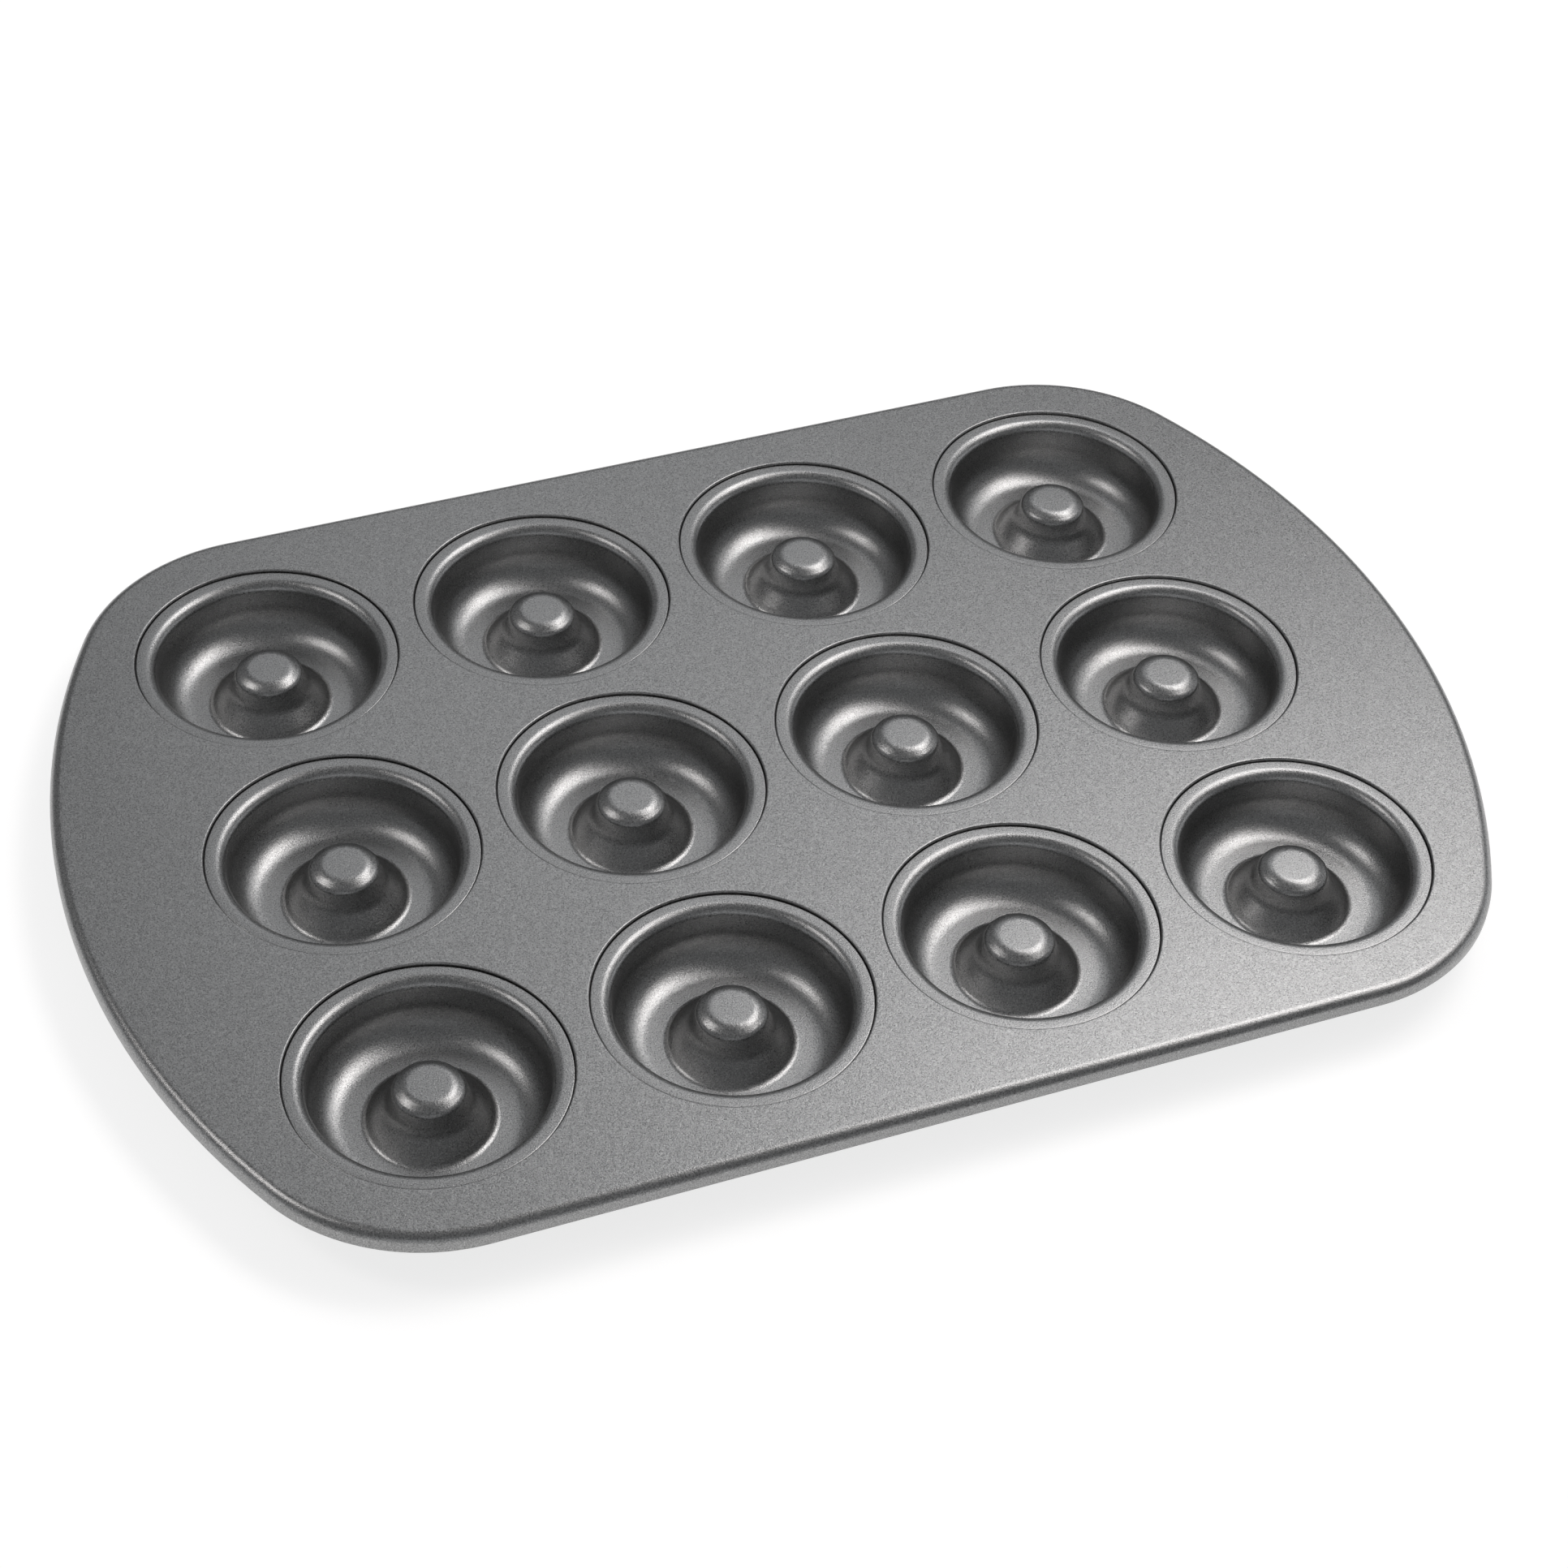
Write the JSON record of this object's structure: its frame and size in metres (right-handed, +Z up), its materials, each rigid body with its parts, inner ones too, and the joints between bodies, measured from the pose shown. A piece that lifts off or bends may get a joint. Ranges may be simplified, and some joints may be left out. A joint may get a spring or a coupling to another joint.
{
  "type": "donut baking pan",
  "caption": "Flat sheet-metal baking pan with bent-down rim and a grid of ring cups, each with a hollow centre post, seamed into the tray; bakes ring donuts.",
  "frame": {"origin": "middle of the pan, on the plane that the cups' undersides stand on", "axes": "+X along the long side, to the right as seen from the front; +Z up, out of the cups"},
  "size_m": [0.386, 0.264, 0.018],
  "materials": {
    "tray_coating": "satin metallic grey non-stick coating with a fine speckle",
    "cup_coating": "satin metallic grey non-stick coating with a fine speckle"
  },
  "bodies": {
    "root": {"tray": "tray_coating", "cup_back_1": "cup_coating", "cup_back_2": "cup_coating", "cup_back_3": "cup_coating", "cup_back_4": "cup_coating", "cup_middle_1": "cup_coating", "cup_middle_2": "cup_coating", "cup_middle_3": "cup_coating", "cup_middle_4": "cup_coating", "cup_front_1": "cup_coating", "cup_front_2": "cup_coating", "cup_front_3": "cup_coating", "cup_front_4": "cup_coating"}
  },
  "joints": []
}
